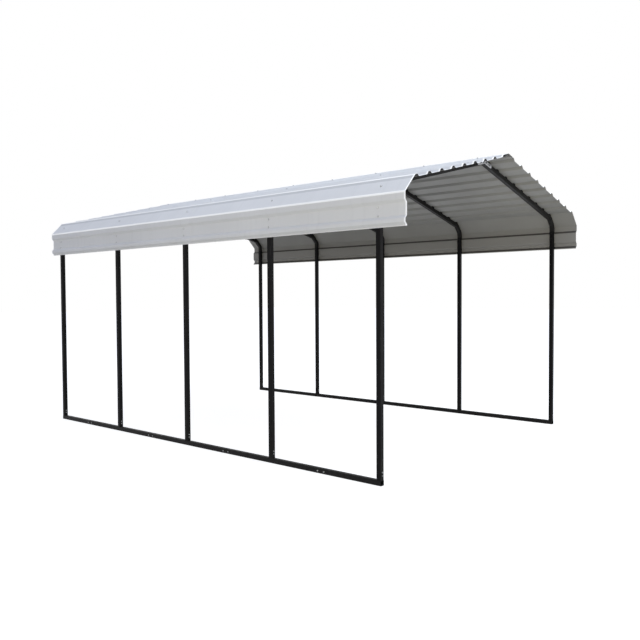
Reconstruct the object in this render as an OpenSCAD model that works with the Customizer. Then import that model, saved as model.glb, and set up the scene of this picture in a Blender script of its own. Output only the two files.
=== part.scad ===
// Open carport: five bent tube frames on two base rails, under a ribbed sheet roof with folded eaves.
// Millimetres, +Z up. The length runs along Y with the open front at -Y.
// The origin is on the ground under the middle of the roof.

/* [Frame] */
// Width over the outside faces of the legs
frame_w = 3008; // [2600:2:3600]
// Distance from one frame to the next
frame_pitch = 1045; // [800:5:1300]
// Height at which the line along the rafters' tops meets the outside face of the legs
eave_h = 2075; // [1900:5:2600]
// Slope of the roof, in degrees
roof_slope = 14; // [10:0.5:20]

/* [Tube] */
// Side of the square tube
tube = 38; // [34:1:46]
// Wall of the tube
tube_wall = 2; // [1.5:0.1:2.6]
// Radius of the tube's outside corners
tube_corner = 4; // [3:0.5:6]
// Outside radius of each of a rafter's two bends at the eave
bend_r = 60; // [50:1:80]
// Straight stretch of a rafter between its two bends
eave_flat = 72; // [40:1:120]
// Tilt of that stretch, in degrees from level
eave_tilt = 46; // [42:1:54]

/* [Tube joints] */
// Straight length of a rafter between its bend and the leg
rafter_drop = 40; // [25:1:80]
// Length of the narrowed tube end that slips into the next tube
spigot_len = 100; // [60:5:150]
// Height of the stub on the base rail that a leg slips over
stub_h = 120; // [80:5:200]
// Play between a tube and what slips into it, on each side
slip_gap = 0.2; // [0.1:0.05:0.4]

/* [Ridge bracket] */
// Length of each arm of the bracket, from the ridge to the middle of its round end
bracket_arm = 110; // [105:5:200]
// Height of the arms
bracket_h = 29; // [22:1:30]
// Thickness of the plate
bracket_t = 3; // [2:0.5:5]
// Distance from the ridge to the inner bolt of an arm
bolt_at = 24; // [18:1:30]
// Distance from the ridge to the middle of an arm's slot
slot_at = 72; // [65:1:80]
// Distance between the round ends of the slot
slot_run = 36; // [10:1:50]
// Diameter of the bolt holes, and width of the slots
bolt_d = 9; // [6:0.5:12]

/* [Roof sheets] */
// Length of the roof in front of the middle of the first frame
front_overhang = 236; // [100:2:300]
// Length of the roof behind the middle of the last frame
rear_overhang = 156; // [100:2:300]
// Length by which the front sheets lap over the rear ones
end_lap = 100; // [40:5:160]
// Thickness of the sheet
sheet_t = 1; // [0.6:0.1:1.5]
// Distance from one rib to the next, adjusted a little so that the ribs divide the slope evenly
rib_pitch = 168; // [150:1:190]
// Height of a rib
rib_h = 18; // [12:1:22]
// Width of a rib at its foot
rib_foot = 62; // [52:1:66]
// Width of a rib's crest
rib_crest = 24; // [14:1:30]
// Width of the crest of the broad rib under the fold at the eave
eave_crest = 50; // [30:1:70]
// Flat stretch of fascia between the broad rib and the rib at its lower edge
fascia_panel = 87; // [60:1:140]
// Width of the lip past the last rib of a sheet
lip = 8; // [6:1:20]
// Distance of the upper sheets' top edges from the ridge, under the cap
ridge_gap = 15; // [10:1:25]
// Radius of the fold along the middle of the ridge cap
cap_fold_r = 30; // [20:1:60]

/* [Hidden] */
$fn = 48;
SIDES = ["left", "right"];
ENDS = ["front", "rear"];
FRAME_COUNT = 5;
FRAMES = [1 : FRAME_COUNT];
CAP_STEPS = 3;
CORNER_STEPS = 3;
FRAME_COLOUR = "#2a282a";
SHEET_COLOUR = "#e2e1dc";
BRACKET_COLOUR = "#b4b7b9";

half_w = frame_w / 2;
roof_len = (FRAME_COUNT - 1) * frame_pitch + front_overhang + rear_overhang;
frame_shift = (front_overhang - rear_overhang) / 2;
overrun = tube;
least_corner = 0.5;

// The rafters' outside faces turn twice at the eave: the tilted stretch between the two turns is fold_run
// long, and its ends lie fold_drop below and fold_back up the slope from the corner that it cuts off.
low_bend = 90 - eave_tilt;
high_bend = eave_tilt - roof_slope;
low_reach = bend_r * tan(low_bend / 2);
high_reach = bend_r * tan(high_bend / 2);
fold_run = low_reach + eave_flat + high_reach;
fold_drop = fold_run * sin(high_bend) / cos(roof_slope);
fold_back = fold_run * sin(low_bend) / cos(roof_slope);
fold_at = half_w / cos(roof_slope) - fold_back;
bend_x = half_w - bend_r;
bend_z = eave_h - fold_drop - low_reach;
ridge_z = eave_h + half_w * tan(roof_slope);
leg_top = bend_z - rafter_drop;

// The tube's wall draws in on each face of a bend, which starts inside the straight tube's wall.
bend_draw = tube_wall / 20;
bend_entry = 1;

// Section of what slips into a tube.
slip_side = tube - 2 * tube_wall - 2 * slip_gap;
slip_corner = max(tube_corner - tube_wall - slip_gap, least_corner);

// Ribs lie half a step off the ridge, then one step apart. The last one's crest ends in the eave's plane.
last_rib_at = fold_at - rib_h / tan(high_bend) - rib_crest / 2;
rib_count = round(last_rib_at / rib_pitch + 1 / 2);
rib_step = last_rib_at / (rib_count - 1 / 2);
lap_rib = floor(rib_count / 2);
flank = (rib_foot - rib_crest) / 2;
flank_angle = atan2(rib_h, flank);

// The fascia is measured down from the top of its broad rib's crest, which ends in the eave's plane too.
fascia_top = eave_h - fold_drop - rib_h / tan(low_bend);
hem_rib_at = eave_crest + flank + fascia_panel + rib_foot / 2;
fascia_len = hem_rib_at + rib_foot / 2 + lip;

// Where sheets lap end over end, the front one steps up onto the rear one over this length.
step_len = 4 * sheet_t;

// The cap is folded over the ridge, and its wings lie on the crests of the ribs beside it.
cap_seat = rib_h + sheet_t;
cap_z = ridge_z + (cap_seat - cap_fold_r) / cos(roof_slope);

// Place of a frame along the length, counted from the front.
function frame_y(n) = (n - (FRAME_COUNT + 1) / 2) * frame_pitch + frame_shift;

// Distance of a rib from the ridge, down the slope, counted from 0.
function rib_at(n) = (n + 1 / 2) * rib_step;

// Points of a sheet are given as [distance along the sheet, height off the frame] and placed by these.
function on_slope(p) = [
    p[0] * cos(roof_slope) + p[1] * sin(roof_slope),
    ridge_z - p[0] * sin(roof_slope) + p[1] * cos(roof_slope)
];
function on_fascia(p) = [half_w + p[1], fascia_top - p[0]];

// The four corners of a rib's face that lies lift above the sheet's underside.
function rib(at, lift, crest = rib_crest) = let (reach = crest / 2 + lift * tan(flank_angle / 2)) [
    [at - reach - flank, lift],
    [at - reach, rib_h + lift],
    [at + reach, rib_h + lift],
    [at + reach + flank, lift]
];

// Lower edge of the sheet that laps over a slope's rib, and the place past it where another may start.
function lap_end(n) = rib_at(n) + rib_foot / 2 + lip;
function past_lap(n) = lap_end(n) + lip;

// An arc made of tangents, so that it lies on a round of that radius and never cuts into it.
function tangent_arc(middle, radius, from, to, steps) = let (step = (to - from) / steps) [
    for (k = [0 : steps - 1])
        middle + radius / cos(step / 2) * [cos(from + (k + 1 / 2) * step), sin(from + (k + 1 / 2) * step)]
];

// Upper sheet: from the ridge, or from past the cap, down to the rib that laps over the eave sheet.
function upper_sheet_face(lift, past_cap = false) = let (
    lap = rib(rib_at(lap_rib), lift + sheet_t),
    top = [past_cap ? past_lap(0) : ridge_gap, lift],
    ribs = [for (n = [past_cap ? 1 : 0 : lap_rib - 1]) each rib(rib_at(n), lift)],
    lap_foot = rib(rib_at(lap_rib), lift)[0],
    foot = [lap_end(lap_rib), lift + sheet_t]
) [for (p = concat([top], ribs, [lap_foot, lap[1], lap[2], lap[3], foot])) on_slope(p)];

// Eave sheet: from the crest of the lap rib, or from past the lap, to the crest of the last rib, flat from
// there to the crest of the broad rib, and down the fascia.
function eave_sheet_face(lift, past_upper = false) = let (
    lap = rib(rib_at(lap_rib), lift),
    top = past_upper ? [[past_lap(lap_rib), lift]] : [[rib_at(lap_rib), rib_h + lift], lap[2], lap[3]],
    ribs = [for (n = [lap_rib + 1 : rib_count - 2]) each rib(rib_at(n), lift)],
    last = rib(last_rib_at, lift),
    high_fold = [last_rib_at + rib_crest / 2 + lift * tan(high_bend / 2), rib_h + lift],
    low_fold = [-lift * tan(low_bend / 2), rib_h + lift],
    broad = rib(eave_crest / 2, lift, eave_crest),
    hem = rib(hem_rib_at, lift)
) concat(
    [for (p = concat(top, ribs, [last[0], last[1], high_fold])) on_slope(p)],
    [for (p = concat([low_fold, broad[2], broad[3]], hem, [[fascia_len, lift]])) on_fascia(p)]
);

// Right half of the ridge cap: half of the fold, the wing, and the outer half of the first rib. The lip at
// its edge is cut back by trim.
function cap_half_face(lift, trim) = let (
    seat = rib(rib_at(0), lift),
    foot = [lap_end(0) - trim, lift],
    radius = cap_fold_r + lift - sheet_t
) concat(
    tangent_arc([0, cap_z], radius, 90, 90 - roof_slope, CAP_STEPS),
    [for (p = [seat[2], seat[3], foot]) on_slope(p)]
);
function mirrored(points) = [for (p = points) [-p[0], p[1]]];
function reversed(points) = [for (n = [len(points) - 1 : -1 : 0]) points[n]];
function cap_face(lift, trim = 0) = let (half = cap_half_face(lift, trim))
    concat(reversed(mirrored(half)), half);

// Shapes are drawn for the right side, and mirrored for the left.
module on_side(side) {
    if (side == "left")
        mirror([1, 0, 0]) children();
    else
        children();
}

// Corner points of a square with rounded corners, each a quarter circle in CORNER_STEPS steps.
function rounded_square(side, corner) = [
    for (quarter = [0 : 3], k = [0 : CORNER_STEPS])
        let (turn = 90 * (quarter + k / CORNER_STEPS), out = 90 * quarter + 45)
            (side / 2 - corner) * [sign(cos(out)), sign(sin(out))] + corner * [cos(turn), sin(turn)]
];

// Hollow section of a tube, thinned by draw on its outside and inside faces.
module tube_section(side, corner, draw = 0) {
    bore_corner = max(corner - tube_wall, least_corner);
    difference() {
        polygon(rounded_square(side - 2 * draw, corner - draw));
        polygon(rounded_square(side - 2 * tube_wall + 2 * draw, bore_corner + draw));
    }
}

module frame_tube(length) {
    linear_extrude(length) tube_section(tube, tube_corner);
}

// Narrowed end of a tube that stops at z = 0: a shoulder inside the wall, and the spigot above it.
module spigot(length) {
    translate([0, 0, -tube_wall]) {
        linear_extrude(tube_wall + length) tube_section(slip_side, slip_corner);
        linear_extrude(tube_wall) difference() {
            polygon(rounded_square(tube - tube_wall, tube_corner - tube_wall / 2));
            square(slip_side - tube_wall, center = true);
        }
    }
}

// One section of the base rail, with the stub for its leg and a spigot into the next section.
module base_rail(side, n) {
    first = n == 1;
    last = n == FRAME_COUNT;
    from = frame_y(n) - (first ? tube / 2 : frame_pitch / 2);
    to = frame_y(n) + (last ? tube / 2 : frame_pitch / 2);
    color(FRAME_COLOUR) on_side(side) translate([half_w - tube / 2, 0, 0]) {
        translate([0, to, tube / 2]) rotate([90, 0, 0]) frame_tube(to - from);
        if (!last)
            translate([0, to, tube / 2]) rotate([-90, 0, 0]) spigot(spigot_len);
        translate([0, frame_y(n), tube - tube_wall / 2])
            linear_extrude(tube_wall / 2 + stub_h) tube_section(slip_side, slip_corner);
    }
}

// Leg: a plain tube that stands on the rail, over its stub.
module leg(side, n) {
    color(FRAME_COLOUR) on_side(side)
        translate([half_w - tube / 2, frame_y(n), tube]) frame_tube(leg_top - tube);
}

// Bend of a tube that stands at z = 0, about the y axis.
module tube_bend(angle) {
    rotate([90, 0, 0]) rotate([0, 0, -bend_entry]) rotate_extrude(angle = angle + 2 * bend_entry)
        translate([bend_r - tube / 2, 0]) tube_section(tube, tube_corner, bend_draw);
}

// Rafter: a spigot in the leg, two bends at the eave and the run up to a mitre at the ridge.
module rafter(side, n) {
    bend_middle = bend_r - tube / 2;
    color(FRAME_COLOUR) on_side(side) translate([0, frame_y(n), 0]) difference() {
        translate([bend_x, 0, bend_z]) {
            translate([bend_middle, 0, -rafter_drop]) {
                frame_tube(rafter_drop);
                mirror([0, 0, 1]) spigot(spigot_len);
            }
            tube_bend(low_bend);
            rotate([0, -low_bend, 0]) {
                translate([bend_middle, 0, 0]) frame_tube(eave_flat);
                translate([0, 0, eave_flat]) {
                    tube_bend(high_bend);
                    rotate([0, -high_bend, 0]) translate([bend_middle, 0, 0]) frame_tube(fold_at);
                }
            }
        }
        translate([-2 * bend_r, -tube, bend_z]) cube([2 * bend_r, 2 * tube, 2 * ridge_z]);
    }
}

// Ridge bracket: a chevron plate with round ends, bolted to the front faces of two rafters.
module ridge_bracket(n) {
    middle_z = ridge_z - tube / 2 / cos(roof_slope);
    rise = bracket_h / 2 / cos(roof_slope);
    arm = bracket_arm * [cos(roof_slope), -sin(roof_slope)];
    edge = bracket_h / 2 * [sin(roof_slope), cos(roof_slope)];
    half = [[0, rise], arm + edge, arm - edge, [0, -rise]];
    color(BRACKET_COLOUR) translate([0, frame_y(n) - tube / 2, middle_z]) rotate([90, 0, 0])
    difference() {
        for (side = SIDES)
            on_side(side) {
                linear_extrude(bracket_t) polygon(half);
                translate(arm) cylinder(h = bracket_t, d = bracket_h);
            }
        for (side = SIDES)
            on_side(side) rotate([0, 0, -roof_slope]) bolt_cuts();
    }
}

// What is cut from an arm of the bracket: a round hole near the ridge and a slot further out.
module bolt_cuts() {
    depth = bracket_t + 2 * overrun;
    for (at = [bolt_at, slot_at - slot_run / 2, slot_at + slot_run / 2])
        translate([at, 0, -overrun]) cylinder(h = depth, d = bolt_d);
    translate([slot_at - slot_run / 2, -bolt_d / 2, -overrun]) cube([slot_run, bolt_d, depth]);
}

// An outline between two faces of a sheet, drawn out along the length of the roof.
module sheet_between(under, over, from, to) {
    translate([0, to, 0]) rotate([90, 0, 0])
        linear_extrude(to - from) polygon(concat(under, reversed(over)));
}

// A sheet from the front or the rear end of the roof to the lap at its middle. A front sheet ends in a
// tongue that steps up onto the rear sheet.
module sheet_length(end, face, tongue_face) {
    lap_start = -end_lap / 2;
    step_start = lap_start - step_len;
    if (end == "front") {
        sheet_between(face(0), face(sheet_t), -roof_len / 2, lap_start);
        sheet_between(tongue_face(sheet_t / 2), tongue_face(2 * sheet_t), step_start, lap_start);
        sheet_between(tongue_face(sheet_t), tongue_face(2 * sheet_t), lap_start, end_lap / 2);
    } else
        sheet_between(face(0), face(sheet_t), lap_start, roof_len / 2);
}

// Eave sheet: the lower half of a slope, the folded eave and the fascia in one piece.
module eave_sheet(end, side) {
    color(SHEET_COLOUR) on_side(side) sheet_length(
        end,
        function (lift) eave_sheet_face(lift),
        function (lift) eave_sheet_face(lift, past_upper = true)
    );
}

// Upper sheet: lies on the rafters, and laps over the eave sheet at its foot.
module upper_sheet(end, side) {
    color(SHEET_COLOUR) on_side(side) sheet_length(
        end,
        function (lift) upper_sheet_face(lift),
        function (lift) upper_sheet_face(lift, past_cap = true)
    );
}

// Ridge cap: spans both slopes, and sits on the ribs beside the ridge. Its tongue is a little narrower.
module ridge_cap(end) {
    color(SHEET_COLOUR) sheet_length(
        end,
        function (lift) cap_face(lift + sheet_t),
        function (lift) cap_face(lift + sheet_t, trim = sheet_t)
    );
}

for (side = SIDES, n = FRAMES) {
    base_rail(side, n);
    leg(side, n);
    rafter(side, n);
}
for (n = FRAMES)
    ridge_bracket(n);
for (end = ENDS, side = SIDES) {
    eave_sheet(end, side);
    upper_sheet(end, side);
}
for (end = ENDS)
    ridge_cap(end);
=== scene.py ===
import math

import bpy
from mathutils import Matrix, Vector


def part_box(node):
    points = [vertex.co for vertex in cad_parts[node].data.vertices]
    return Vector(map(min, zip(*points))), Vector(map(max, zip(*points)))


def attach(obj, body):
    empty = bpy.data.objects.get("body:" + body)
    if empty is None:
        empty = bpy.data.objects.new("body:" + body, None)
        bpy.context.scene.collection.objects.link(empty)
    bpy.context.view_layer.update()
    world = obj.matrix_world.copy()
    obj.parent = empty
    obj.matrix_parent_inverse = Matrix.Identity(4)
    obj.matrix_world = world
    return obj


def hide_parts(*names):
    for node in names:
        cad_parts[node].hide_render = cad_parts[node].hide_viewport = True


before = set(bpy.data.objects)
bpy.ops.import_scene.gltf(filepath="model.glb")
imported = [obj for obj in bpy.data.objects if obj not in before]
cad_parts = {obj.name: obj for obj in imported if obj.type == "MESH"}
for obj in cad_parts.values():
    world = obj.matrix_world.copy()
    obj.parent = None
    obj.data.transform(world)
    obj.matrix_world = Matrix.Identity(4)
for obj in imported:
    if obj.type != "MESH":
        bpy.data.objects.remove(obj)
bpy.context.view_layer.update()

# Base rails: square steel tube in five sections a side, slipped into each other and lying on the ground.
# The tube is welded from strip, cut, and powder coated satin black. Two screws hold each joint.
SIDES = ("left", "right")
FRAMES = (1, 2, 3, 4, 5)
RAIL_BLACKS = ((0.0062, 0.0060, 0.0060, 1), (0.0100, 0.0097, 0.0094, 1))
COAT_WORN = (0.040, 0.039, 0.038, 1)
DUST = (0.150, 0.140, 0.122, 1)


def add_node(tree, kind, settings=None, values=None):
    made = tree.nodes.new("ShaderNode" + kind)
    for name, value in (settings or {}).items():
        setattr(made, name, value)
    for name, value in (values or {}).items():
        made.inputs[name].default_value = value
    return made


def feed(tree, value, socket):
    if isinstance(value, bpy.types.NodeSocket):
        tree.links.new(value, socket)
    else:
        socket.default_value = value


def maths(tree, operation, first, second=0.0, clamp=False):
    made = add_node(tree, "Math", {"operation": operation, "use_clamp": clamp})
    feed(tree, first, made.inputs[0])
    feed(tree, second, made.inputs[1])
    return made.outputs[0]


def mix_colour(tree, share, first, second):
    made = add_node(tree, "Mix", {"data_type": "RGBA"})
    feed(tree, share, made.inputs[0])
    feed(tree, first, made.inputs[6])
    feed(tree, second, made.inputs[7])
    return made.outputs[2]


def spread(tree, value, low, high, to_low=0.0, to_high=1.0):
    made = add_node(tree, "MapRange", {"clamp": True})
    feed(tree, value, made.inputs["Value"])
    for name, limit in zip(("From Min", "From Max", "To Min", "To Max"), (low, high, to_low, to_high)):
        feed(tree, limit, made.inputs[name])
    return made.outputs["Result"]


def noise(tree, scale, stretch=(1, 1, 1), detail=3.0):
    place = add_node(tree, "TexCoord")
    turn = add_node(tree, "Mapping", None, {"Scale": stretch})
    tree.links.new(place.outputs["Object"], turn.inputs["Vector"])
    made = add_node(tree, "TexNoise", None, {"Detail": detail})
    tree.links.new(turn.outputs["Vector"], made.inputs["Vector"])
    feed(tree, scale, made.inputs["Scale"])
    return made.outputs["Fac"]


def new_group(name, inputs, outputs):
    tree = bpy.data.node_groups.new(name, "ShaderNodeTree")
    for socket, kind, value in inputs:
        made = tree.interface.new_socket(socket, in_out="INPUT", socket_type="NodeSocket" + kind)
        made.default_value = value
    for socket, kind in outputs:
        tree.interface.new_socket(socket, in_out="OUTPUT", socket_type="NodeSocket" + kind)
    return tree, tree.nodes.new("NodeGroupInput"), tree.nodes.new("NodeGroupOutput")


def place_group(tree, group, values):
    made = add_node(tree, "Group", {"node_tree": group})
    for name, value in values.items():
        made.inputs[name].default_value = value
    return made


def new_material(name):
    material = bpy.data.materials.new(name)
    material.use_nodes = True
    return material, material.node_tree, material.node_tree.nodes["Principled BSDF"]


def give_bump(tree, shader, height, distance, strength=1.0):
    bump = add_node(tree, "Bump", None, {"Distance": distance, "Strength": strength})
    tree.links.new(height, bump.inputs["Height"])
    tree.links.new(bump.outputs["Normal"], shader.inputs["Normal"])


# Fine waviness that a sprayed coat keeps after it has flowed and set.
coat_peel, given, result = new_group("coat_peel", [("Scale", "Float", 500.0)], [("Height", "Float")])
coat_peel.links.new(noise(coat_peel, given.outputs["Scale"], detail=1.0), result.inputs["Height"])

# Rubbed corners of a square tube: faces that lean between the tube's sides, in patches.
corner_wear, given, result = new_group(
    "corner_wear", [("Across", "Vector", (1, 0, 0)), ("Amount", "Float", 0.5)], [("Mask", "Float")]
)
surface = add_node(corner_wear, "NewGeometry")
lean = add_node(corner_wear, "VectorMath", {"operation": "DOT_PRODUCT"})
corner_wear.links.new(surface.outputs["Normal"], lean.inputs[0])
corner_wear.links.new(given.outputs["Across"], lean.inputs[1])
lean_size = maths(corner_wear, "ABSOLUTE", lean.outputs["Value"])
off_one_side = spread(corner_wear, lean_size, 0.05, 0.3)
off_other_side = spread(corner_wear, lean_size, 0.99, 0.95)
patches = spread(corner_wear, noise(corner_wear, 22.0, detail=5.0), 0.5, 0.72)
corner = maths(corner_wear, "MULTIPLY", off_one_side, off_other_side)
corner = maths(corner_wear, "MULTIPLY", corner, patches)
corner_wear.links.new(
    maths(corner_wear, "MULTIPLY", corner, given.outputs["Amount"]), result.inputs["Mask"]
)

# Dust thrown up from the ground: thick near it, gone at the given height, and caught on upper faces.
ground_dust, given, result = new_group(
    "ground_dust", [("Reach", "Float", 0.4), ("Amount", "Float", 0.5)], [("Mask", "Float")]
)
place = add_node(ground_dust, "TexCoord")
heights = add_node(ground_dust, "SeparateXYZ")
ground_dust.links.new(place.outputs["Object"], heights.inputs["Vector"])
low_share = spread(ground_dust, heights.outputs["Z"], given.outputs["Reach"], 0.0)
facing = add_node(ground_dust, "SeparateXYZ")
surface = add_node(ground_dust, "NewGeometry")
ground_dust.links.new(surface.outputs["Normal"], facing.inputs["Vector"])
upper = spread(ground_dust, facing.outputs["Z"], 0.2, 0.95, 0.3, 1.0)
specks = spread(ground_dust, noise(ground_dust, 34.0, detail=6.0), 0.35, 0.75)
dusty = maths(ground_dust, "MULTIPLY", maths(ground_dust, "MULTIPLY", low_share, upper), specks)
ground_dust.links.new(
    maths(ground_dust, "MULTIPLY", dusty, given.outputs["Amount"]), result.inputs["Mask"]
)


def satin_black_coat(name, shades, across, wear, dust_reach, dust, gleam):
    material, tree, shader = new_material(name)
    drift = spread(tree, noise(tree, 2.6, detail=4.0), 0.35, 0.7)
    colour = mix_colour(tree, drift, *shades)
    worn = place_group(tree, corner_wear, {"Across": across, "Amount": wear}).outputs["Mask"]
    colour = mix_colour(tree, worn, colour, COAT_WORN)
    dusty = place_group(tree, ground_dust, {"Reach": dust_reach, "Amount": dust}).outputs["Mask"]
    colour = mix_colour(tree, dusty, colour, DUST)
    tree.links.new(colour, shader.inputs["Base Color"])
    gloss = spread(tree, noise(tree, 9.0, detail=4.0), 0.3, 0.7, 0.36, 0.50)
    roughness = maths(tree, "ADD", gloss, maths(tree, "MULTIPLY", dusty, 0.8), clamp=True)
    tree.links.new(roughness, shader.inputs["Roughness"])
    shader.inputs["Specular IOR Level"].default_value = gleam
    peel = place_group(tree, coat_peel, {"Scale": 420.0}).outputs["Height"]
    give_bump(tree, shader, peel, 0.0004, 0.35)
    return material


rail_coat = satin_black_coat("rail_coat", RAIL_BLACKS, (1, 0, 0), 0.55, 0.09, 0.30, 0.09)


def finish_node(name, material):
    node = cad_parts[name]
    node.data.materials.clear()
    node.data.materials.append(material)


for side in SIDES:
    for n in FRAMES:
        finish_node(f"{side}_base_rail_{n}", rail_coat)

# Frame screws: zinc plated self drilling screws with a hexagon head on a round flange.
# One is shaped here and copied to each joint of the rails, then of the legs and rafters.
SCREW_FLATS = 0.0080
SCREW_FLANGE = 0.0110
FLANGE_RISE = 0.0014
SCREW_HEAD = 0.0048
FLANGE_SIDES = 16
RIM_SHARE = 0.55
COLLAR_SHARE = 0.56
HEAD_SEAT = 0.9
ZINC = (0.36, 0.365, 0.37, 1)
ZINC_DULL = (0.20, 0.205, 0.21, 1)


def raise_faces(distance):
    bpy.ops.mesh.extrude_region_move(TRANSFORM_OT_translate={"value": (0, 0, distance)})


def start_disc(name, radius, vertices, at_z=0.0):
    bpy.ops.object.select_all(action="DESELECT")
    bpy.ops.mesh.primitive_circle_add(
        vertices=vertices, radius=radius, fill_type="NGON", location=(0, 0, at_z)
    )
    disc = bpy.context.object
    disc.name = name
    bpy.ops.object.transform_apply(location=True, rotation=True, scale=True)
    bpy.ops.object.mode_set(mode="EDIT")
    return disc


def add_hexagon_head(flats, at_z, height):
    chamfer = flats / 14
    bpy.ops.mesh.select_all(action="DESELECT")
    bpy.ops.mesh.primitive_circle_add(
        vertices=6, radius=flats / math.sqrt(3), fill_type="NGON", location=(0, 0, at_z)
    )
    raise_faces(height - chamfer)
    bpy.ops.mesh.inset(thickness=chamfer * 1.6)
    bpy.ops.transform.translate(value=(0, 0, chamfer))


def close_shape():
    bpy.ops.mesh.select_all(action="SELECT")
    bpy.ops.mesh.normals_make_consistent(inside=False)
    bpy.ops.object.mode_set(mode="OBJECT")


def flange_screw(name, flats, flange, rise, head):
    screw = start_disc(name, flange / 2, FLANGE_SIDES)
    raise_faces(rise * RIM_SHARE)
    bpy.ops.mesh.inset(thickness=flange / 2 - flats * COLLAR_SHARE)
    bpy.ops.transform.translate(value=(0, 0, rise * (1 - RIM_SHARE)))
    add_hexagon_head(flats, rise * HEAD_SEAT, head)
    close_shape()
    return screw


def set_copies(pattern, name, seats, spin=2.4):
    copies = []
    for index, (point, out) in enumerate(seats):
        copy = pattern.copy()
        copy.data = pattern.data.copy()
        turn = Matrix.Rotation(spin * index, 4, "Z")
        aim = Vector(out).to_track_quat("Z", "Y").to_matrix().to_4x4()
        copy.data.transform(Matrix.Translation(point) @ aim @ turn)
        bpy.context.scene.collection.objects.link(copy)
        copies.append(copy)
    bpy.ops.object.select_all(action="DESELECT")
    for copy in copies:
        copy.select_set(True)
    bpy.context.view_layer.objects.active = copies[0]
    bpy.ops.object.join()
    piece = bpy.context.object
    piece.name = name
    piece.data.name = name
    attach(piece, "root")
    return piece


zinc_plate, tree, shader = new_material("zinc_plate")
plate = spread(tree, noise(tree, 60.0, detail=4.0), 0.35, 0.7)
tree.links.new(mix_colour(tree, plate, ZINC, ZINC_DULL), shader.inputs["Base Color"])
tree.links.new(spread(tree, noise(tree, 240.0), 0.3, 0.7, 0.24, 0.46), shader.inputs["Roughness"])
shader.inputs["Metallic"].default_value = 0.9
give_bump(tree, shader, noise(tree, 900.0, detail=2.0), 0.0001, 0.4)

frame_screw = flange_screw("frame_screw", SCREW_FLATS, SCREW_FLANGE, FLANGE_RISE, SCREW_HEAD)
frame_screw.data.materials.append(zinc_plate)

SCREW_FROM_JOINT = 0.030
seats = []
for side, out in (("left", -1), ("right", 1)):
    for n in FRAMES[1:]:
        low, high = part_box(f"{side}_base_rail_{n}")
        face = high.x if out > 0 else low.x
        tube = high.x - low.x
        for step in (-SCREW_FROM_JOINT, SCREW_FROM_JOINT):
            seats.append(((face, low.y + step, tube / 2), (out, 0, 0)))
set_copies(frame_screw, "rail_joint_screws", seats)

# Legs: plain lengths of the same tube, slipped over stubs that are welded to the rails.
# Two screws through the front face hold each foot.
FOOT_SCREWS = (0.033, 0.055)
LEG_BLACKS = ((0.0070, 0.0067, 0.0069, 1), (0.0110, 0.0106, 0.0108, 1))
leg_coat = satin_black_coat("leg_coat", LEG_BLACKS, (0, 1, 0), 0.45, 0.45, 0.22, 0.05)
seats = []
for side in SIDES:
    for n in FRAMES:
        finish_node(f"{side}_leg_{n}", leg_coat)
        low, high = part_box(f"{side}_leg_{n}")
        for rise in FOOT_SCREWS:
            seats.append((((low.x + high.x) / 2, low.y, low.z + rise), (0, -1, 0)))
set_copies(frame_screw, "foot_screws", seats)

# Rafters: the same tube bent twice at the eave, with a narrowed end that slips into the leg.
# Two screws through the leg's inner face hold that end, black like the tube.
TAIL_SCREWS = (0.022, 0.066)
RAFTER_BLACKS = ((0.020, 0.0192, 0.0182, 1), (0.029, 0.0278, 0.0262, 1))
rafter_coat = satin_black_coat("rafter_coat", RAFTER_BLACKS, (0, 1, 0), 0.40, 0.10, 0.0, 0.05)
seats = []
for side, inward in (("left", 1), ("right", -1)):
    for n in FRAMES:
        finish_node(f"{side}_rafter_{n}", rafter_coat)
        low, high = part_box(f"{side}_leg_{n}")
        face = high.x if inward > 0 else low.x
        for drop in TAIL_SCREWS:
            seats.append(((face, (low.y + high.y) / 2, high.z - drop), (inward, 0, 0)))
tail_screws = set_copies(frame_screw, "tail_screws", seats)
tail_screws.data.materials.clear()
tail_screws.data.materials.append(rafter_coat)
bpy.data.objects.remove(frame_screw)

# Ridge brackets: chevrons punched from galvanised plate, bolted over the mitre of two rafters.
# Each arm takes a bolt in its round hole and one near the end of its slot.
ROOF_SLOPE = math.radians(14)
BOLT_FLATS = 0.0130
BOLT_WASHER = 0.0170
WASHER_RISE = 0.0018
BOLT_HEAD = 0.0055
BOLTS_FROM_RIDGE = (0.024, 0.086)
GALVANISED = (0.90, 0.905, 0.90, 1)
GALVANISED_DARK = (0.74, 0.745, 0.75, 1)

galvanised_plate, tree, shader = new_material("galvanised_plate")
place = add_node(tree, "TexCoord")
spangle = add_node(tree, "TexVoronoi", None, {"Scale": 130.0})
tree.links.new(place.outputs["Object"], spangle.inputs["Vector"])
flake = add_node(tree, "SeparateColor")
tree.links.new(spangle.outputs["Color"], flake.inputs["Color"])
cloud = spread(tree, noise(tree, 18.0, detail=4.0), 0.3, 0.7)
share = maths(tree, "MULTIPLY", maths(tree, "ADD", flake.outputs["Red"], cloud), 0.5)
tree.links.new(mix_colour(tree, share, GALVANISED, GALVANISED_DARK), shader.inputs["Base Color"])
tree.links.new(spread(tree, flake.outputs["Green"], 0.0, 1.0, 0.34, 0.52), shader.inputs["Roughness"])
shader.inputs["Metallic"].default_value = 0.05
give_bump(tree, shader, flake.outputs["Blue"], 0.0001, 0.3)

ridge_bolt = flange_screw("ridge_bolt", BOLT_FLATS, BOLT_WASHER, WASHER_RISE, BOLT_HEAD)
ridge_bolt.data.materials.append(zinc_plate)
seats = []
for n in FRAMES:
    finish_node(f"ridge_bracket_{n}", galvanised_plate)
    low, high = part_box(f"ridge_bracket_{n}")
    rafter_low, rafter_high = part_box(f"left_rafter_{n}")
    tube = rafter_high.y - rafter_low.y
    for out in (-1, 1):
        for run in BOLTS_FROM_RIDGE:
            x = out * run * math.cos(ROOF_SLOPE)
            z = rafter_high.z - tube / 2 / math.cos(ROOF_SLOPE) - run * math.sin(ROOF_SLOPE)
            seats.append(((x, low.y, z), (0, -1, 0)))
set_copies(ridge_bolt, "ridge_bolts", seats)
bpy.data.objects.remove(ridge_bolt)

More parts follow.
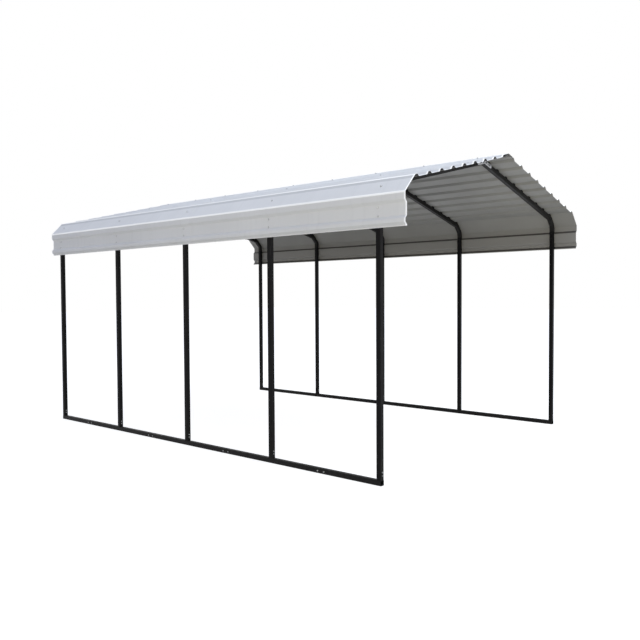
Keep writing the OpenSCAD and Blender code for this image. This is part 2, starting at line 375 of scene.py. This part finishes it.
# Rib closures: blocks of black closed cell foam in the hollows of the ribs, on top of each rafter; their
# black is also painted shade for the dark hollows over the rafters.
# They are cut from strip with the ribs' section, and the sheet's screws squeeze them tight.
RIB_PITCH = 0.168
RIB_COUNT = 9
CLOSURE_FOOT = 0.0600
CLOSURE_CREST = 0.0360
CLOSURE_RISE = 0.0108
CLOSURE_EDGE = 0.0012
FOAM_SHADE_BLACK = (0.0055, 0.0055, 0.0056, 1)
FOAM_SHADE_GREY = (0.0130, 0.0130, 0.0132, 1)

rafter_low, rafter_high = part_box("right_rafter_1")
ridge_top = rafter_high.z
half_width = rafter_high.x
tube = rafter_high.y - rafter_low.y
frame_places = []
for n in FRAMES:
    low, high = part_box(f"left_rafter_{n}")
    frame_places.append((low.y + high.y) / 2)


def on_roof(out, run, rise):
    x = out * (run * math.cos(ROOF_SLOPE) + rise * math.sin(ROOF_SLOPE))
    return x, ridge_top - run * math.sin(ROOF_SLOPE) + rise * math.cos(ROOF_SLOPE)


foam_and_hollow_shade, tree, shader = new_material("foam_and_hollow_shade")
pores = noise(tree, 420.0, detail=4.0)
foam = mix_colour(tree, spread(tree, pores, 0.4, 0.75), FOAM_SHADE_BLACK, FOAM_SHADE_GREY)
tree.links.new(foam, shader.inputs["Base Color"])
tree.links.new(spread(tree, pores, 0.3, 0.7, 0.85, 0.97), shader.inputs["Roughness"])
shader.inputs["Specular IOR Level"].default_value = 0.2
give_bump(tree, shader, pores, 0.0006, 0.5)

bpy.ops.object.select_all(action="DESELECT")
bpy.ops.mesh.primitive_plane_add(size=1.0)
closure = bpy.context.object
closure.name = "closure"
closure.scale = (tube, CLOSURE_FOOT, 1.0)
bpy.ops.object.transform_apply(location=True, rotation=True, scale=True)
bpy.ops.object.mode_set(mode="EDIT")
raise_faces(CLOSURE_RISE)
bpy.ops.transform.resize(value=(1.0, CLOSURE_CREST / CLOSURE_FOOT, 1.0))
bpy.ops.mesh.select_all(action="SELECT")
bpy.ops.mesh.bevel(offset=CLOSURE_EDGE, segments=1, affect="EDGES")
close_shape()
closure.data.materials.append(foam_and_hollow_shade)
for side, out in (("left", -1), ("right", 1)):
    up = (out * math.sin(ROOF_SLOPE), 0, math.cos(ROOF_SLOPE))
    seats = []
    for y in frame_places:
        for k in range(RIB_COUNT):
            x, z = on_roof(out, (k + 0.5) * RIB_PITCH, 0.0)
            seats.append(((x, y, z), up))
    set_copies(closure, f"{side}_rib_shade_closures", seats, spin=0.0)
bpy.data.objects.remove(closure)

# Roof sheets: thin galvanised steel, roll formed with ribs along the roof and painted on both sides.
# The eave sheets are folded over the rafters into an upright fascia, and the cap closes the ridge.
# The rolls leave a round in every fold, so each sheet is a copy of its solid with the folds rounded.
ENDS = ("front", "rear")
FOLD_OFFSET = 0.0030
FOLD_STEPS = 4
FASCIA_TOP = 1.9944
CUT_END_HIGHLIGHT = 0.014
FOLD_SHINE = 0.0075
FOLD_SHINE_END = 0.0105
FOLD_BRIGHT = 0.85
HIGHLIGHT_METALLIC = 0.6
LEAN_OUT = 0.5
LEAN_UP = 0.8
OUTSIDE_LEAN = -0.08
STREAK_SHARE = 0.08
STREAK_DULL = 0.15
FOLD_SHADE_STARTS = (0.008, 0.014)
FOLD_SHADE_ENDS = (0.044, 0.034)
FOLD_SHADE_SHARE = 0.45
HOLLOW_SHADE_REACH = 0.16
RIB_RISE = 0.018
RIB_CREST = 0.024
SHEET_PAINT = (0.742, 0.742, 0.732, 1)
SHEET_PAINT_CHALKY = (0.705, 0.705, 0.695, 1)
SHEET_BACK = (0.360, 0.348, 0.314, 1)
SHEET_BACK_DULL = (0.318, 0.306, 0.274, 1)
SHEET_GRIME = (0.420, 0.405, 0.370, 1)
FASCIA_BACK_SHADE = (0.330, 0.318, 0.290, 1)
LEDGE_SHADE = (0.095, 0.090, 0.082, 1)
RIB_HOLLOW_SHADE = (0.012, 0.012, 0.014, 1)
FOLD_SHADE = (0.400, 0.403, 0.408, 1)
HIGHLIGHT_WHITE = (0.930, 0.935, 0.940, 1)

sheet_paint, tree, shader = new_material("sheet_paint")
place = add_node(tree, "TexCoord")
spot = add_node(tree, "SeparateXYZ")
tree.links.new(place.outputs["Object"], spot.inputs["Vector"])
surface = add_node(tree, "NewGeometry")
facing = add_node(tree, "SeparateXYZ")
tree.links.new(surface.outputs["Normal"], facing.inputs["Vector"])
outward = maths(tree, "MULTIPLY", maths(tree, "SIGN", spot.outputs["X"]), facing.outputs["X"])
upright = maths(tree, "LESS_THAN", spot.outputs["Z"], FASCIA_TOP)
lean_out = maths(tree, "MULTIPLY", outward, LEAN_OUT)
lean_up = maths(tree, "MULTIPLY", facing.outputs["Z"], LEAN_UP)
on_slope = maths(tree, "ADD", lean_out, lean_up)
lean = add_node(tree, "Mix", {"data_type": "FLOAT"})
feed(tree, upright, lean.inputs[0])
feed(tree, on_slope, lean.inputs[2])
feed(tree, outward, lean.inputs[3])
outside = maths(tree, "GREATER_THAN", lean.outputs[0], OUTSIDE_LEAN)
drift = spread(tree, noise(tree, 1.7, detail=5.0), 0.35, 0.7)
streaks = spread(tree, noise(tree, 5.0, (0.35, 6.0, 0.35), detail=5.0), 0.52, 0.8)
paint = mix_colour(tree, drift, SHEET_PAINT, SHEET_PAINT_CHALKY)
paint = mix_colour(tree, maths(tree, "MULTIPLY", streaks, STREAK_SHARE), paint, SHEET_GRIME)
slant_top = on_roof(1, (RIB_COUNT - 0.5) * RIB_PITCH + RIB_CREST / 2, RIB_RISE)
slant_foot = (half_width + RIB_RISE, FASCIA_TOP)
slant_run = (Vector(slant_foot) - Vector(slant_top)).normalized()
from_ridge = maths(tree, "ABSOLUTE", spot.outputs["X"])
run_out = maths(tree, "MULTIPLY", maths(tree, "SUBTRACT", from_ridge, slant_top[0]), slant_run.x)
below_top = maths(tree, "SUBTRACT", spot.outputs["Z"], slant_top[1])
run_down = maths(tree, "MULTIPLY", below_top, slant_run.y)
down_slant = maths(tree, "ADD", run_out, run_down)
# A darker strip a little below the slant's upper fold is painted shade.
fold_shade_start = spread(tree, down_slant, *FOLD_SHADE_STARTS)
fold_shade_line = maths(tree, "MULTIPLY", fold_shade_start, spread(tree, down_slant, *FOLD_SHADE_ENDS))
paint = mix_colour(tree, maths(tree, "MULTIPLY", fold_shade_line, FOLD_SHADE_SHARE), paint, FOLD_SHADE)
roof_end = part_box("rear_left_eave_sheet")[1].y
from_middle = maths(tree, "ABSOLUTE", spot.outputs["Y"])
# Painted highlights: a band along the sheets' cut ends and lines along the slant's two folds are
# whitened and made partly metallic; only the thin cut end faces are bare metal.
painted_highlight = spread(tree, from_middle, roof_end - CUT_END_HIGHLIGHT, roof_end - CUT_END_HIGHLIGHT / 2)
for fold_x, fold_z in (slant_top, slant_foot):
    aside = maths(tree, "SUBTRACT", from_ridge, fold_x)
    above = maths(tree, "SUBTRACT", spot.outputs["Z"], fold_z)
    aside_square = maths(tree, "MULTIPLY", aside, aside)
    squares = maths(tree, "ADD", aside_square, maths(tree, "MULTIPLY", above, above))
    near = spread(tree, maths(tree, "SQRT", squares), FOLD_SHINE_END, FOLD_SHINE)
    painted_highlight = maths(tree, "MAXIMUM", painted_highlight, maths(tree, "MULTIPLY", near, FOLD_BRIGHT))
paint = mix_colour(tree, painted_highlight, paint, HIGHLIGHT_WHITE)
painted_highlight_outside = maths(tree, "MULTIPLY", painted_highlight, outside)
tree.links.new(maths(tree, "MULTIPLY", painted_highlight_outside, HIGHLIGHT_METALLIC), shader.inputs["Metallic"])
back = mix_colour(tree, drift, SHEET_BACK, SHEET_BACK_DULL)
# The inner face of the upright fascia is painted darker than the underside: painted shade under the
# roof.
back = mix_colour(tree, upright, back, FASCIA_BACK_SHADE)
# Upward facing inner faces of the fascia's ribs are painted near black: painted shade in the rib hollow.
ledge_shade = maths(tree, "MULTIPLY", upright, spread(tree, facing.outputs["Z"], 0.3, 0.6))
back = mix_colour(tree, ledge_shade, back, LEDGE_SHADE)
above_fascia = maths(tree, "SUBTRACT", 1.0, upright)
# The walls inside the rib hollows near the roof's open ends are painted near black: painted shade inside
# the hollows.
rib_wall = maths(tree, "MULTIPLY", spread(tree, outward, 0.25, 0.45), above_fascia)
open_end = spread(tree, from_middle, roof_end - HOLLOW_SHADE_REACH, roof_end - HOLLOW_SHADE_REACH / 2)
back = mix_colour(tree, maths(tree, "MULTIPLY", rib_wall, open_end), back, RIB_HOLLOW_SHADE)
tree.links.new(mix_colour(tree, outside, back, paint), shader.inputs["Base Color"])
gloss = spread(tree, noise(tree, 7.0, detail=4.0), 0.3, 0.7, 0.42, 0.54)
dulled = maths(tree, "MULTIPLY", streaks, STREAK_DULL)
tree.links.new(maths(tree, "ADD", gloss, dulled), shader.inputs["Roughness"])
shader.inputs["Specular IOR Level"].default_value = 0.3
give_bump(tree, shader, noise(tree, 3.2, (1.0, 0.3, 1.0), detail=2.0), 0.004, 0.5)


def select_folds(mesh):
    sides_of = {}
    for face in mesh.polygons:
        for key in face.edge_keys:
            sides_of.setdefault(key, []).append(face.normal)
    for edge in mesh.edges:
        first, second = (mesh.vertices[v].co for v in edge.vertices)
        run = second - first
        normals = sides_of[edge.key]
        turn = normals[0].angle(normals[1]) if len(normals) == 2 else 0.0
        along = abs(run.y) > 0.05 and abs(run.x) + abs(run.z) < 0.0001
        edge.select = along and math.radians(20) < turn < math.radians(60)


def roll_sheet(name):
    finish_node(name, sheet_paint)
    sheet = bpy.data.objects.new(f"{name}_rolled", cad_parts[name].data.copy())
    bpy.context.scene.collection.objects.link(sheet)
    bpy.ops.object.select_all(action="DESELECT")
    sheet.select_set(True)
    bpy.context.view_layer.objects.active = sheet
    bpy.ops.object.mode_set(mode="EDIT")
    bpy.ops.mesh.select_mode(type="EDGE")
    bpy.ops.mesh.select_all(action="SELECT")
    bpy.ops.mesh.remove_doubles(threshold=0.00001)
    bpy.ops.mesh.dissolve_limited(angle_limit=math.radians(0.5))
    bpy.ops.mesh.select_all(action="DESELECT")
    bpy.ops.object.mode_set(mode="OBJECT")
    select_folds(sheet.data)
    bpy.ops.object.mode_set(mode="EDIT")
    bpy.ops.mesh.bevel(offset=FOLD_OFFSET, segments=FOLD_STEPS, affect="EDGES", clamp_overlap=False)
    bpy.ops.mesh.select_mode(type="VERT")
    close_shape()
    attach(sheet, "root")
    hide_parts(name)


for end in ENDS:
    for side in SIDES:
        roll_sheet(f"{end}_{side}_eave_sheet")
        roll_sheet(f"{end}_{side}_upper_sheet")
    roll_sheet(f"{end}_ridge_cap")

# Roof screws: self drilling screws with heads painted like the sheet, each on a bonded rubber washer.
# They sit in the flats over each rafter, on the eave's slant and fascia, and on the crests of the laps.
ROOF_FLANGE = 0.0150
RUBBER_RISE = 0.0016
RUBBER_EDGE = 0.00045
SHEET_THICK = 0.001
LAP_RIB = 4
FASCIA_SCREWS = (0.088, 0.147)
RUBBER = (0.018, 0.018, 0.019, 1)

washer_rubber, tree, shader = new_material("washer_rubber")
bloom = spread(tree, noise(tree, 150.0, detail=4.0), 0.4, 0.8)
tree.links.new(mix_colour(tree, bloom, RUBBER, COAT_WORN), shader.inputs["Base Color"])
tree.links.new(spread(tree, bloom, 0.0, 1.0, 0.65, 0.85), shader.inputs["Roughness"])
give_bump(tree, shader, noise(tree, 700.0, detail=2.0), 0.0002, 0.4)

screw_paint, tree, shader = new_material("screw_paint")
chips = spread(tree, noise(tree, 160.0, detail=4.0), 0.58, 0.66)
tree.links.new(mix_colour(tree, chips, SHEET_PAINT_CHALKY, ZINC_DULL), shader.inputs["Base Color"])
tree.links.new(spread(tree, chips, 0.0, 1.0, 0.36, 0.5), shader.inputs["Roughness"])
give_bump(tree, shader, noise(tree, 600.0, detail=2.0), 0.0002, 0.4)

roof_screw = start_disc("roof_screw", ROOF_FLANGE / 2 + RUBBER_EDGE, FLANGE_SIDES)
raise_faces(RUBBER_RISE)
bpy.ops.mesh.inset(thickness=RUBBER_EDGE)
raise_faces(FLANGE_RISE * 0.6)
bpy.ops.mesh.inset(thickness=ROOF_FLANGE / 2 - SCREW_FLATS * COLLAR_SHARE)
bpy.ops.transform.translate(value=(0, 0, FLANGE_RISE * 0.5))
add_hexagon_head(SCREW_FLATS, RUBBER_RISE + FLANGE_RISE * HEAD_SEAT, SCREW_HEAD)
close_shape()
roof_screw.data.materials.append(screw_paint)
roof_screw.data.materials.append(washer_rubber)
for face in roof_screw.data.polygons:
    face.material_index = int(face.center.z < RUBBER_RISE * 0.99)

bay_places = [(a + b) / 2 for a, b in zip(frame_places, frame_places[1:])]
lap_low, lap_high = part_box("rear_left_upper_sheet")[0].y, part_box("front_left_upper_sheet")[1].y

slant_out = Vector((-slant_run.y, slant_run.x))


def layers(y, single):
    return SHEET_THICK * (single + (1 if lap_low < y < lap_high else 0))


for side, out in (("left", -1), ("right", 1)):
    up = (out * math.sin(ROOF_SLOPE), 0, math.cos(ROOF_SLOPE))
    seats = []
    for y in frame_places:
        for k in range(1, RIB_COUNT):
            x, z = on_roof(out, k * RIB_PITCH, layers(y, 1))
            seats.append(((x, y, z), up))
    set_copies(roof_screw, f"{side}_slope_screws", seats)

    seats = []
    for y in frame_places:
        for drop in FASCIA_SCREWS:
            seats.append(((out * (half_width + layers(y, 1)), y, FASCIA_TOP - drop), (out, 0, 0)))
        middle = (Vector(slant_top) + Vector(slant_foot)) / 2 + slant_out * layers(y, 1)
        seats.append(((out * middle.x, y, middle.y), (out * slant_out.x, 0, slant_out.y)))
    set_copies(roof_screw, f"{side}_fascia_screws", seats)

    seats = []
    for y in bay_places:
        x, z = on_roof(out, (LAP_RIB + 0.5) * RIB_PITCH, RIB_RISE + layers(y, 2))
        seats.append(((x, y, z), up))
    for y in frame_places + bay_places:
        x, z = on_roof(out, 0.5 * RIB_PITCH, RIB_RISE + layers(y, 2))
        seats.append(((x, y, z), up))
    set_copies(roof_screw, f"{side}_lap_screws", seats)
bpy.data.objects.remove(roof_screw)

# Floor: a plain pale studio floor, matt so that it mirrors nothing.
# It glows for the camera and for reflections, so it shows white and keeps the soft shadow.
FLOOR_SPAN = 120.0
FLOOR_GREY = (0.60, 0.580, 0.530, 1)
FLOOR_GLOW = 0.82

bpy.ops.object.select_all(action="DESELECT")
bpy.ops.mesh.primitive_plane_add(size=FLOOR_SPAN, location=(0, 0, -0.001))
floor = bpy.context.object
floor.name = "floor"
floor_paint, tree, shader = new_material("floor_paint")
shader.inputs["Base Color"].default_value = FLOOR_GREY
shader.inputs["Roughness"].default_value = 0.9
shader.inputs["Specular IOR Level"].default_value = 0.0
rays = add_node(tree, "LightPath")
seen = maths(tree, "MAXIMUM", rays.outputs["Is Camera Ray"], rays.outputs["Is Glossy Ray"])
seen = maths(tree, "MAXIMUM", seen, rays.outputs["Is Transmission Ray"])
shader.inputs["Emission Color"].default_value = (1, 1, 1, 1)
tree.links.new(maths(tree, "MULTIPLY", seen, FLOOR_GLOW), shader.inputs["Emission Strength"])
floor.data.materials.append(floor_paint)

# Light: a pale surround, cool above and brighter at the front, a broad panel overhead,
# and softer low panels at the left and the front.
FILL_FRONT = 1.05
FILL_REAR = 0.40
FILL_LOW = (0.90, 0.845, 0.75, 1)
FILL_HIGH = (0.51, 0.61, 0.93, 1)
world = bpy.data.worlds.new("studio")
bpy.context.scene.world = world
world.use_nodes = True
tree = world.node_tree
surround = tree.nodes["Background"]
rays = add_node(tree, "LightPath")
seen = maths(tree, "MAXIMUM", rays.outputs["Is Camera Ray"], rays.outputs["Is Glossy Ray"])
seen = maths(tree, "MAXIMUM", seen, rays.outputs["Is Transmission Ray"])
way = add_node(tree, "TexCoord")
lean = add_node(tree, "SeparateXYZ")
tree.links.new(way.outputs["Generated"], lean.inputs["Vector"])
fill = spread(tree, lean.outputs["Y"], -1.0, 1.0, FILL_FRONT, FILL_REAR)
tree.links.new(spread(tree, seen, 0.0, 1.0, fill, 1.0), surround.inputs["Strength"])
tint = mix_colour(tree, spread(tree, lean.outputs["Z"], 0.0, 0.7), FILL_LOW, FILL_HIGH)
tree.links.new(mix_colour(tree, seen, tint, (1, 1, 1, 1)), surround.inputs["Color"])


def hang_panel(name, place, target, size, power, tint=(1, 1, 1)):
    bpy.ops.object.light_add(type="AREA", location=place)
    panel = bpy.context.object
    panel.name = name
    panel.data.size = size
    panel.data.energy = power
    panel.data.color = tint
    aim = Vector(target) - Vector(place)
    panel.rotation_euler = aim.to_track_quat("-Z", "Y").to_euler()


hang_panel("overhead_panel", (1.5, -2.0, 8.0), (0, 0, 1.8), 7.0, 400, (0.88, 0.96, 1.0))
hang_panel("left_panel", (-8.5, -4.5, 0.9), (-1.5, -1.5, 1.8), 2.2, 165, (1.0, 0.95, 0.76))
hang_panel("front_panel", (5.5, -9.0, 1.2), (0, 0, 1.6), 3.0, 110)

# Camera: low beside the front left corner, under the eaves, as the photograph was taken.
# It is held almost level, and its place and lens come from the lines of the legs, rails and roof.
IMAGE_SIDE = 640
FOCAL_PIXELS = 689.37
CAMERA_PLACE = (-5.3310, -4.8098, 1.3007)
CAMERA_TURN = 0.862
CAMERA_TILT = -0.033
CAMERA_ROLL = -0.0054

bpy.ops.object.camera_add()
camera = bpy.context.object
camera.name = "camera"
camera.data.sensor_width = 36.0
camera.data.lens = camera.data.sensor_width * FOCAL_PIXELS / IMAGE_SIDE
camera.data.clip_end = 500.0
ahead = Vector((
    math.sin(CAMERA_TURN) * math.cos(CAMERA_TILT),
    math.cos(CAMERA_TURN) * math.cos(CAMERA_TILT),
    math.sin(CAMERA_TILT),
))
right = ahead.cross(Vector((0, 0, 1))).normalized()
up = right.cross(ahead)
across = right * math.cos(CAMERA_ROLL) + up * math.sin(CAMERA_ROLL)
upward = up * math.cos(CAMERA_ROLL) - right * math.sin(CAMERA_ROLL)
turn = Matrix((across, upward, -ahead)).transposed().to_4x4()
camera.matrix_world = Matrix.Translation(CAMERA_PLACE) @ turn
bpy.context.scene.camera = camera
bpy.context.scene.view_settings.view_transform = "Standard"
